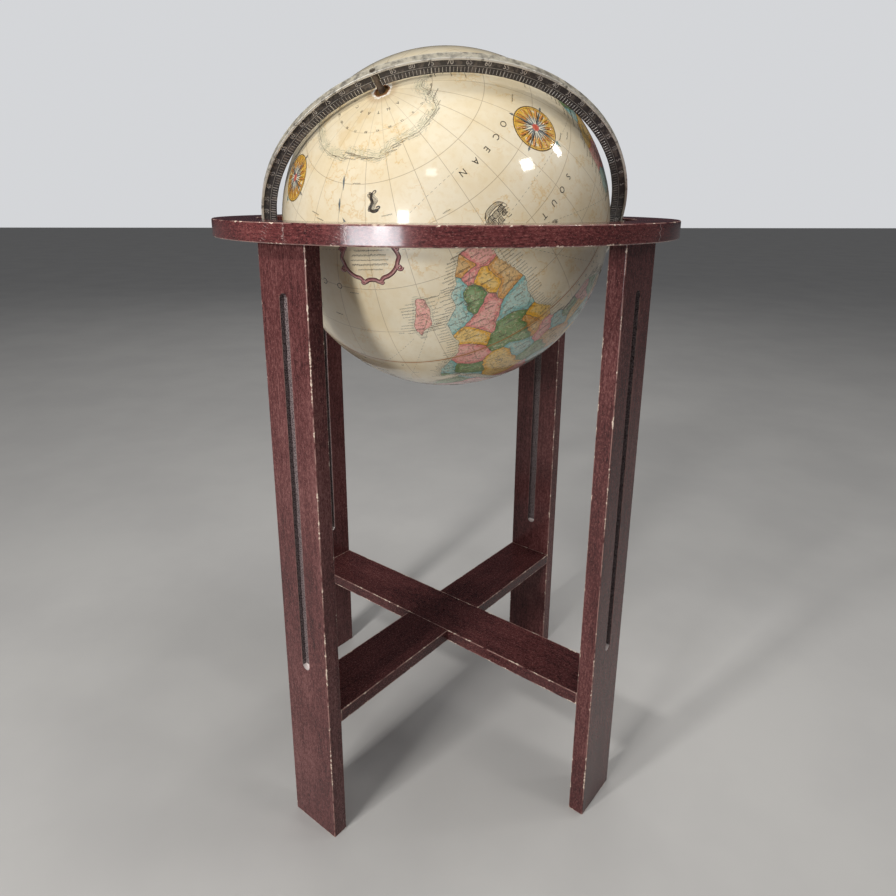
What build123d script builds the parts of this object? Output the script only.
"""Floor-standing globe: a 16-inch ball on a polar axis inside a full metal meridian ring.

The meridian ring turns end over end on two pins in a wooden horizon ring, which four
grooved board legs carry. Crossed stretcher boards tie the legs together near the floor.

Frame: millimetres, +Z up, floor at Z = 0, the stand's centre line on the Z axis.
-Y is the front, between two legs; the meridian's pivot pins lie along X.
Everything is drawn in the rest pose, with the meridian's top leaning towards the front.
"""

import math
import os

from build123d import *

os.makedirs("parts", exist_ok=True)

# ---------------------------------------------------------------- ball
BALL_R = 203.2
SHELL_T = 3.0
SHELL_RI = BALL_R - SHELL_T
POLE_HOLE_R = 7.2
BAND_T = 2.8
BAND_HALF_DEG = 3.4
TAPE_T = 0.35
TAPE_HALF_DEG = 0.8

# ---------------------------------------------------------------- polar axis
AXIS_TILT_DEG = 23.5
AXIS_PIN_R = 3.5
AXIS_PIN_IN = 184.0
AXIS_PIN_OUT = 226.3
BUSH_BORE_R = AXIS_PIN_R + 0.05
BUSH_BODY_R = 5.0
BUSH_FLANGE_R = 7.0
BUSH_IN = 186.0
BUSH_FLANGE_IN = 200.3
BUSH_OUT = 202.0
BLOCK_R = 32.0
BLOCK_IN = 183.0

# ---------------------------------------------------------------- meridian ring
MER_RO = 227.3
MER_RI = 209.5
MER_RIM_T = 2.7
MER_RIM_HALF_W = 4.75
MER_WEB_HALF_T = 2.0
MER_LEAN_DEG = 42.0
SLOT_W = 8.4
BOSS_R = 5.5
BOSS_IN = 211.0
BOSS_OUT = 226.8

# ---------------------------------------------------------------- horizon ring
RING_RO = 283.2
RING_RI = 233.0
RING_T = 20.0
RING_Z0 = 731.0
CENTRE_Z = RING_Z0 + RING_T / 2
RING_ROUND = 1.6
SHORT_HALF_DEG = 19.1

# ---------------------------------------------------------------- meridian pivots
PIVOT_R = 3.0
PIVOT_BORE_R = PIVOT_R + 0.05
PIVOT_IN = 214.0
PIVOT_SEAT = 275.5
PIVOT_HEAD_R = 5.0
PIVOT_HEAD_T = 3.2
PIVOT_BUSH_R = 4.5
PIVOT_BUSH_FLANGE_R = 6.5
PIVOT_BUSH_END = 249.0
SPOT_FACE_X = RING_RI + 0.5
SPACER_IN = 227.9

# ---------------------------------------------------------------- legs and stretchers
LEG_W = 73.4
LEG_T = 20.0
LEG_FACE_R = 263.1
LEG_ROUND = 1.4
LEG_SLOT_W = 12.5
LEG_SLOT_DEPTH = 5.5
LEG_SLOT_Z0 = 232.0
LEG_SLOT_Z1 = 681.0
BAR_W = 73.2
BAR_T = 16.0
BAR_TOP = 180.0
BAR_END_R = LEG_FACE_R - LEG_T
DOWEL_R = 4.0
DOWEL_SPREAD = 22.0
SCREW_R = 2.0
SCREW_HEAD_R = 4.0

LEGS = {"leg_front_left": -45, "leg_front_right": 45, "leg_rear_right": 135, "leg_rear_left": -135}


def turned(azimuth: float) -> Plane:
    """Plane on the floor whose -Y points outwards at this azimuth, counted from the front."""
    a = math.radians(azimuth)
    return Plane(origin=(0, 0, 0), x_dir=(math.cos(a), math.sin(a), 0), z_dir=(0, 0, 1))


def sideways(side: int, x: float) -> Plane:
    """Plane facing out along the pivot axis on one side, at distance x from the centre."""
    return Plane(origin=(side * x, 0, CENTRE_Z), x_dir=(0, 1, 0), z_dir=(side, 0, 0))


lean = math.radians(MER_LEAN_DEG)
centre = Vector(0, 0, CENTRE_Z)
across = Vector(1, 0, 0)
face_dir = Vector(0, -math.cos(lean), -math.sin(lean))
up_dir = Vector(0, -math.sin(lean), math.cos(lean))
tilt = math.radians(AXIS_TILT_DEG)
south = up_dir * math.cos(tilt) - across * math.sin(tilt)
north = south * -1
POLES = {"south": south, "north": north}


def pole_profile(pole: Vector) -> Plane:
    """Plane through the polar axis: its Y runs to the pole, its X square to the meridian."""
    return Plane(origin=centre, x_dir=face_dir, z_dir=face_dir.cross(pole))


def pole_frame(pole: Vector) -> Plane:
    """Plane at the ball's centre whose Z runs to the pole and X square to the meridian."""
    return Plane(origin=centre, x_dir=face_dir, z_dir=pole)


# ---------------------------------------------------------------- legs
for leg_name, leg_az in LEGS.items():
    floor_plane = turned(leg_az)
    with BuildPart() as leg:
        with BuildSketch(floor_plane) as leg_outline:
            with Locations((0, -(LEG_FACE_R - LEG_T / 2))):
                Rectangle(LEG_W, LEG_T)
        extrude(amount=RING_Z0)
        fillet(leg.edges().filter_by(Axis.Z), LEG_ROUND)
        fillet(leg.faces().sort_by(Axis.Z)[0].edges(), 0.8)
        for slot_y in (-(LEG_FACE_R - LEG_SLOT_DEPTH / 2), -(BAR_END_R + LEG_SLOT_DEPTH / 2)):
            slot_at = Location((0, slot_y, (LEG_SLOT_Z0 + LEG_SLOT_Z1) / 2), (90, 0, 0))
            with BuildSketch(floor_plane * slot_at) as slot_outline:
                SlotOverall(LEG_SLOT_Z1 - LEG_SLOT_Z0, LEG_SLOT_W, rotation=90)
            extrude(amount=LEG_SLOT_DEPTH / 2, both=True, mode=Mode.SUBTRACT)
        with Locations(
            floor_plane * Location((-DOWEL_SPREAD, -(LEG_FACE_R - LEG_T / 2), RING_Z0)),
            floor_plane * Location((DOWEL_SPREAD, -(LEG_FACE_R - LEG_T / 2), RING_Z0)),
        ):
            Cylinder(DOWEL_R + 0.02, 50, mode=Mode.SUBTRACT)
        for dowel_x in (-DOWEL_SPREAD, DOWEL_SPREAD):
            dowel_at = Location((dowel_x, -BAR_END_R, BAR_TOP - BAR_T / 2), (90, 0, 0))
            with Locations(floor_plane * dowel_at):
                Cylinder(DOWEL_R + 0.02, 28, mode=Mode.SUBTRACT)
    leg.part.label = leg_name
    export_step(leg.part, f"parts/{leg_name}.step")

# ---------------------------------------------------------------- stretchers
through_plane = turned(45)
with BuildPart() as stretcher_through:
    with BuildSketch(through_plane.offset(BAR_TOP - BAR_T)) as through_outline:
        Rectangle(BAR_W, 2 * BAR_END_R)
    extrude(amount=BAR_T)
    with BuildSketch(through_plane.offset(BAR_TOP - BAR_T)) as through_lap:
        Rectangle(BAR_W + 2, BAR_W + 0.1)
    extrude(amount=BAR_T / 2, mode=Mode.SUBTRACT)
    for end in (-1, 1):
        for dowel_x in (-DOWEL_SPREAD, DOWEL_SPREAD):
            dowel_at = Location((dowel_x, end * BAR_END_R, BAR_TOP - BAR_T / 2), (90, 0, 0))
            with Locations(through_plane * dowel_at):
                Cylinder(DOWEL_R + 0.02, 50, mode=Mode.SUBTRACT)
    with Locations((0, 0, BAR_TOP - BAR_T / 2)):
        Cylinder(SCREW_R, 11, align=(Align.CENTER, Align.CENTER, Align.MIN), mode=Mode.SUBTRACT)
stretcher_through.part.label = "stretcher_through"
export_step(stretcher_through.part, "parts/stretcher_through.step")

notched_plane = turned(-45)
with BuildPart() as stretcher_notched:
    with BuildSketch(notched_plane.offset(BAR_TOP - BAR_T)) as notched_outline:
        Rectangle(BAR_W, 2 * BAR_END_R)
    extrude(amount=BAR_T)
    with BuildSketch(notched_plane.offset(BAR_TOP)) as notched_lap:
        Rectangle(BAR_W + 2, BAR_W + 0.1)
    extrude(amount=-BAR_T / 2, mode=Mode.SUBTRACT)
    for end in (-1, 1):
        for dowel_x in (-DOWEL_SPREAD, DOWEL_SPREAD):
            dowel_at = Location((dowel_x, end * BAR_END_R, BAR_TOP - BAR_T / 2), (90, 0, 0))
            with Locations(notched_plane * dowel_at):
                Cylinder(DOWEL_R + 0.02, 50, mode=Mode.SUBTRACT)
    with Locations((0, 0, BAR_TOP - BAR_T / 2)):
        Cylinder(SCREW_R, 40, mode=Mode.SUBTRACT)
    with Locations((0, 0, BAR_TOP - BAR_T)):
        Cylinder(SCREW_HEAD_R, 4.2, mode=Mode.SUBTRACT)
stretcher_notched.part.label = "stretcher_notched"
export_step(stretcher_notched.part, "parts/stretcher_notched.step")

with BuildPart() as lap_screw:
    with Locations((0, 0, BAR_TOP - BAR_T + 2.1)):
        Cylinder(SCREW_R - 0.02, 10.4, align=(Align.CENTER, Align.CENTER, Align.MIN))
    with Locations((0, 0, BAR_TOP - BAR_T + 0.3)):
        Cylinder(SCREW_HEAD_R - 0.1, 1.8, align=(Align.CENTER, Align.CENTER, Align.MIN))
    with Locations((0, 0, BAR_TOP - BAR_T + 0.3)):
        Box(10, 1.0, 1.6, mode=Mode.SUBTRACT)
lap_screw.part.label = "lap_screw"
export_step(lap_screw.part, "parts/lap_screw.step")

# ---------------------------------------------------------------- dowels
with BuildPart() as stretcher_dowels:
    for leg_az in LEGS.values():
        for dowel_x in (-DOWEL_SPREAD, DOWEL_SPREAD):
            dowel_at = Location((dowel_x, -BAR_END_R + 5.5, BAR_TOP - BAR_T / 2), (90, 0, 0))
            with Locations(turned(leg_az) * dowel_at):
                Cylinder(DOWEL_R, 38)
stretcher_dowels.part.label = "stretcher_dowels"
export_step(stretcher_dowels.part, "parts/stretcher_dowels.step")

with BuildPart() as ring_dowels:
    for leg_az in LEGS.values():
        for dowel_x in (-DOWEL_SPREAD, DOWEL_SPREAD):
            dowel_at = Location((dowel_x, -(LEG_FACE_R - LEG_T / 2), RING_Z0 - 5))
            with Locations(turned(leg_az) * dowel_at):
                Cylinder(DOWEL_R, 38)
ring_dowels.part.label = "ring_dowels"
export_step(ring_dowels.part, "parts/ring_dowels.step")

# ---------------------------------------------------------------- horizon ring
SEGMENTS = {}
for word, az in (("front", 0), ("right", 90), ("rear", 180), ("left", -90)):
    SEGMENTS[f"ring_long_{word}"] = (az, 45 - SHORT_HALF_DEG)
for leg_name, leg_az in LEGS.items():
    SEGMENTS[leg_name.replace("leg", "ring_short")] = (leg_az, SHORT_HALF_DEG)

for seg_name, (seg_az, seg_half) in SEGMENTS.items():
    seg_plane = turned(seg_az)
    with BuildPart() as segment:
        with BuildSketch(seg_plane.offset(RING_Z0)) as seg_outline:
            with BuildLine() as seg_lines:
                seg_outer = CenterArc((0, 0), RING_RO, -90 - seg_half, 2 * seg_half)
                seg_inner = CenterArc((0, 0), RING_RI, -90 - seg_half, 2 * seg_half)
                Line(seg_outer @ 0, seg_inner @ 0)
                Line(seg_outer @ 1, seg_inner @ 1)
            make_face()
        extrude(amount=RING_T)
        fillet(segment.edges().filter_by(GeomType.CIRCLE), RING_ROUND)
        if "short" in seg_name:
            for dowel_x in (-DOWEL_SPREAD, DOWEL_SPREAD):
                dowel_at = Location((dowel_x, -(LEG_FACE_R - LEG_T / 2), RING_Z0))
                with Locations(seg_plane * dowel_at):
                    Cylinder(DOWEL_R + 0.02, 30, mode=Mode.SUBTRACT)
        if seg_name in ("ring_long_right", "ring_long_left"):
            side = 1 if seg_name == "ring_long_right" else -1
            with Locations(sideways(side, RING_RI - 5)):
                Cylinder(
                    PIVOT_BORE_R, 70, align=(Align.CENTER, Align.CENTER, Align.MIN), mode=Mode.SUBTRACT
                )
            with Locations(sideways(side, PIVOT_SEAT)):
                Cylinder(
                    PIVOT_HEAD_R + 0.6, 20, align=(Align.CENTER, Align.CENTER, Align.MIN), mode=Mode.SUBTRACT
                )
            with Locations(sideways(side, PIVOT_BUSH_END + 0.5)):
                Cylinder(
                    PIVOT_BUSH_R + 0.02, 30, align=(Align.CENTER, Align.CENTER, Align.MAX), mode=Mode.SUBTRACT
                )
            with Locations(sideways(side, SPOT_FACE_X)):
                Cylinder(
                    PIVOT_BUSH_FLANGE_R + 0.5, 9, align=(Align.CENTER, Align.CENTER, Align.MAX),
                    mode=Mode.SUBTRACT,
                )
    segment.part.label = seg_name
    export_step(segment.part, f"parts/{seg_name}.step")

# ---------------------------------------------------------------- meridian pivots
for word, side in (("right", 1), ("left", -1)):
    with BuildPart() as pivot_pin:
        with Locations(sideways(side, PIVOT_IN)):
            Cylinder(PIVOT_R, PIVOT_SEAT - PIVOT_IN, align=(Align.CENTER, Align.CENTER, Align.MIN))
        with Locations(sideways(side, PIVOT_SEAT + 0.05)):
            Cylinder(PIVOT_HEAD_R, PIVOT_HEAD_T, align=(Align.CENTER, Align.CENTER, Align.MIN))
        with Locations(sideways(side, PIVOT_SEAT)):
            Cylinder(PIVOT_R, 1, align=(Align.CENTER, Align.CENTER, Align.MIN))
        with Locations(sideways(side, PIVOT_SEAT + 0.05 + PIVOT_HEAD_T)):
            Box(1.3, 12, 2.4, mode=Mode.SUBTRACT)
    pivot_pin.part.label = f"pivot_pin_{word}"
    export_step(pivot_pin.part, f"parts/pivot_pin_{word}.step")

    with BuildPart() as pivot_bush:
        with Locations(sideways(side, SPOT_FACE_X)):
            Cylinder(
                PIVOT_BUSH_R, PIVOT_BUSH_END - SPOT_FACE_X, align=(Align.CENTER, Align.CENTER, Align.MIN)
            )
            Cylinder(PIVOT_BUSH_FLANGE_R, 1.5, align=(Align.CENTER, Align.CENTER, Align.MAX))
        with Locations(sideways(side, SPOT_FACE_X - 5)):
            Cylinder(
                PIVOT_R + 0.03, 30, align=(Align.CENTER, Align.CENTER, Align.MIN), mode=Mode.SUBTRACT
            )
    pivot_bush.part.label = f"pivot_bush_{word}"
    export_step(pivot_bush.part, f"parts/pivot_bush_{word}.step")

    with BuildPart() as pivot_spacer:
        with Locations(sideways(side, SPACER_IN)):
            Cylinder(
                BOSS_R, SPOT_FACE_X - 1.6 - SPACER_IN, align=(Align.CENTER, Align.CENTER, Align.MIN)
            )
        with Locations(sideways(side, SPACER_IN - 1)):
            Cylinder(
                PIVOT_R + 0.05, 12, align=(Align.CENTER, Align.CENTER, Align.MIN), mode=Mode.SUBTRACT
            )
    pivot_spacer.part.label = f"pivot_spacer_{word}"
    export_step(pivot_spacer.part, f"parts/pivot_spacer_{word}.step")

# ---------------------------------------------------------------- meridian ring
section_at = math.radians(50)
section_dir = across * math.cos(section_at) + up_dir * math.sin(section_at)
section_plane = Plane(origin=centre, x_dir=section_dir, z_dir=section_dir.cross(face_dir))
with BuildPart() as meridian_ring:
    with BuildSketch(section_plane) as rim_section:
        with BuildLine() as rim_lines:
            Polyline(
                (MER_RI, -MER_WEB_HALF_T),
                (MER_RI, MER_WEB_HALF_T),
                (MER_RO - MER_RIM_T, MER_WEB_HALF_T),
                (MER_RO - MER_RIM_T, MER_RIM_HALF_W),
                (MER_RO, MER_RIM_HALF_W),
                (MER_RO, -MER_RIM_HALF_W),
                (MER_RO - MER_RIM_T, -MER_RIM_HALF_W),
                (MER_RO - MER_RIM_T, -MER_WEB_HALF_T),
                close=True,
            )
        make_face()
        fillet(rim_section.vertices(), 0.5)
    revolve(axis=Axis(centre, face_dir))
    for side in (-1, 1):
        with Locations(sideways(side, BOSS_IN)):
            Cylinder(BOSS_R, BOSS_OUT - BOSS_IN, align=(Align.CENTER, Align.CENTER, Align.MIN))
    for side in (-1, 1):
        with Locations(sideways(side, PIVOT_IN - 1.0)):
            Cylinder(
                PIVOT_BORE_R, 30, align=(Align.CENTER, Align.CENTER, Align.MIN), mode=Mode.SUBTRACT
            )
    for pole in POLES.values():
        with Locations(pole_frame(pole) * Location((0, 0, MER_RI - 4))):
            Box(
                20, SLOT_W, MER_RO - MER_RIM_T - MER_RI + 4,
                align=(Align.CENTER, Align.CENTER, Align.MIN), mode=Mode.SUBTRACT,
            )
        with Locations(pole_frame(pole) * Location((0, 0, MER_RI))):
            Cylinder(
                AXIS_PIN_R + 0.02, 30, align=(Align.CENTER, Align.CENTER, Align.MIN), mode=Mode.SUBTRACT
            )
meridian_ring.part.label = "meridian_ring"
export_step(meridian_ring.part, "parts/meridian_ring.step")

# ---------------------------------------------------------------- polar axis pins
for word, pole in POLES.items():
    with BuildPart() as axis_pin:
        with Locations(pole_frame(pole) * Location((0, 0, AXIS_PIN_IN))):
            Cylinder(
                AXIS_PIN_R, AXIS_PIN_OUT - AXIS_PIN_IN, align=(Align.CENTER, Align.CENTER, Align.MIN)
            )
        chamfer(axis_pin.edges().filter_by(GeomType.CIRCLE), 0.5)
    axis_pin.part.label = f"axis_pin_{word}"
    export_step(axis_pin.part, f"parts/axis_pin_{word}.step")

# ---------------------------------------------------------------- ball
for word, pole in POLES.items():
    with BuildPart() as shell:
        with BuildSketch(pole_profile(pole)) as shell_section:
            with BuildLine() as shell_lines:
                shell_outer = CenterArc((0, 0), BALL_R, 0, 90)
                shell_inner = CenterArc((0, 0), SHELL_RI, 0, 90)
                Line(shell_outer @ 0, shell_inner @ 0)
                Line(shell_outer @ 1, shell_inner @ 1)
            make_face()
        revolve(axis=Axis(centre, pole))
        with Locations(pole_frame(pole) * Location((0, 0, 150))):
            Cylinder(
                POLE_HOLE_R, 80, align=(Align.CENTER, Align.CENTER, Align.MIN), mode=Mode.SUBTRACT
            )
    shell.part.label = f"shell_{word}"
    export_step(shell.part, f"parts/shell_{word}.step")

    with BuildPart() as pole_block:
        with BuildSketch(pole_profile(pole)) as block_section:
            with BuildLine() as block_lines:
                start = math.degrees(math.acos(BLOCK_R / SHELL_RI))
                stop = math.degrees(math.acos((BUSH_BODY_R + 0.02) / SHELL_RI))
                block_arc = CenterArc((0, 0), SHELL_RI, start, stop - start)
                Polyline(
                    block_arc @ 0,
                    (BLOCK_R, BLOCK_IN),
                    (BUSH_BODY_R + 0.02, BLOCK_IN),
                    block_arc @ 1,
                )
            make_face()
        revolve(axis=Axis(centre, pole))
    pole_block.part.label = f"pole_block_{word}"
    export_step(pole_block.part, f"parts/pole_block_{word}.step")

    with BuildPart() as pole_bush:
        with BuildSketch(pole_profile(pole)) as bush_section:
            with BuildLine() as bush_lines:
                Polyline(
                    (BUSH_BORE_R, BUSH_IN),
                    (BUSH_BODY_R, BUSH_IN),
                    (BUSH_BODY_R, BUSH_FLANGE_IN),
                    (BUSH_FLANGE_R, BUSH_FLANGE_IN),
                    (BUSH_FLANGE_R, BUSH_OUT),
                    (BUSH_BORE_R, BUSH_OUT),
                    close=True,
                )
            make_face()
        revolve(axis=Axis(centre, pole))
    pole_bush.part.label = f"pole_bush_{word}"
    export_step(pole_bush.part, f"parts/pole_bush_{word}.step")

with BuildPart() as joining_band:
    with BuildSketch(pole_profile(south)) as band_section:
        with BuildLine() as band_lines:
            band_outer = CenterArc((0, 0), SHELL_RI, -BAND_HALF_DEG, 2 * BAND_HALF_DEG)
            band_inner = CenterArc((0, 0), SHELL_RI - BAND_T, -BAND_HALF_DEG, 2 * BAND_HALF_DEG)
            Line(band_outer @ 0, band_inner @ 0)
            Line(band_outer @ 1, band_inner @ 1)
        make_face()
    revolve(axis=Axis(centre, south))
joining_band.part.label = "joining_band"
export_step(joining_band.part, "parts/joining_band.step")

with BuildPart() as equator_tape:
    with BuildSketch(pole_profile(south)) as tape_section:
        with BuildLine() as tape_lines:
            tape_outer = CenterArc((0, 0), BALL_R + TAPE_T, -TAPE_HALF_DEG, 2 * TAPE_HALF_DEG)
            tape_inner = CenterArc((0, 0), BALL_R, -TAPE_HALF_DEG, 2 * TAPE_HALF_DEG)
            Line(tape_outer @ 0, tape_inner @ 0)
            Line(tape_outer @ 1, tape_inner @ 1)
        make_face()
    revolve(axis=Axis(centre, south))
equator_tape.part.label = "equator_tape"
export_step(equator_tape.part, "parts/equator_tape.step")
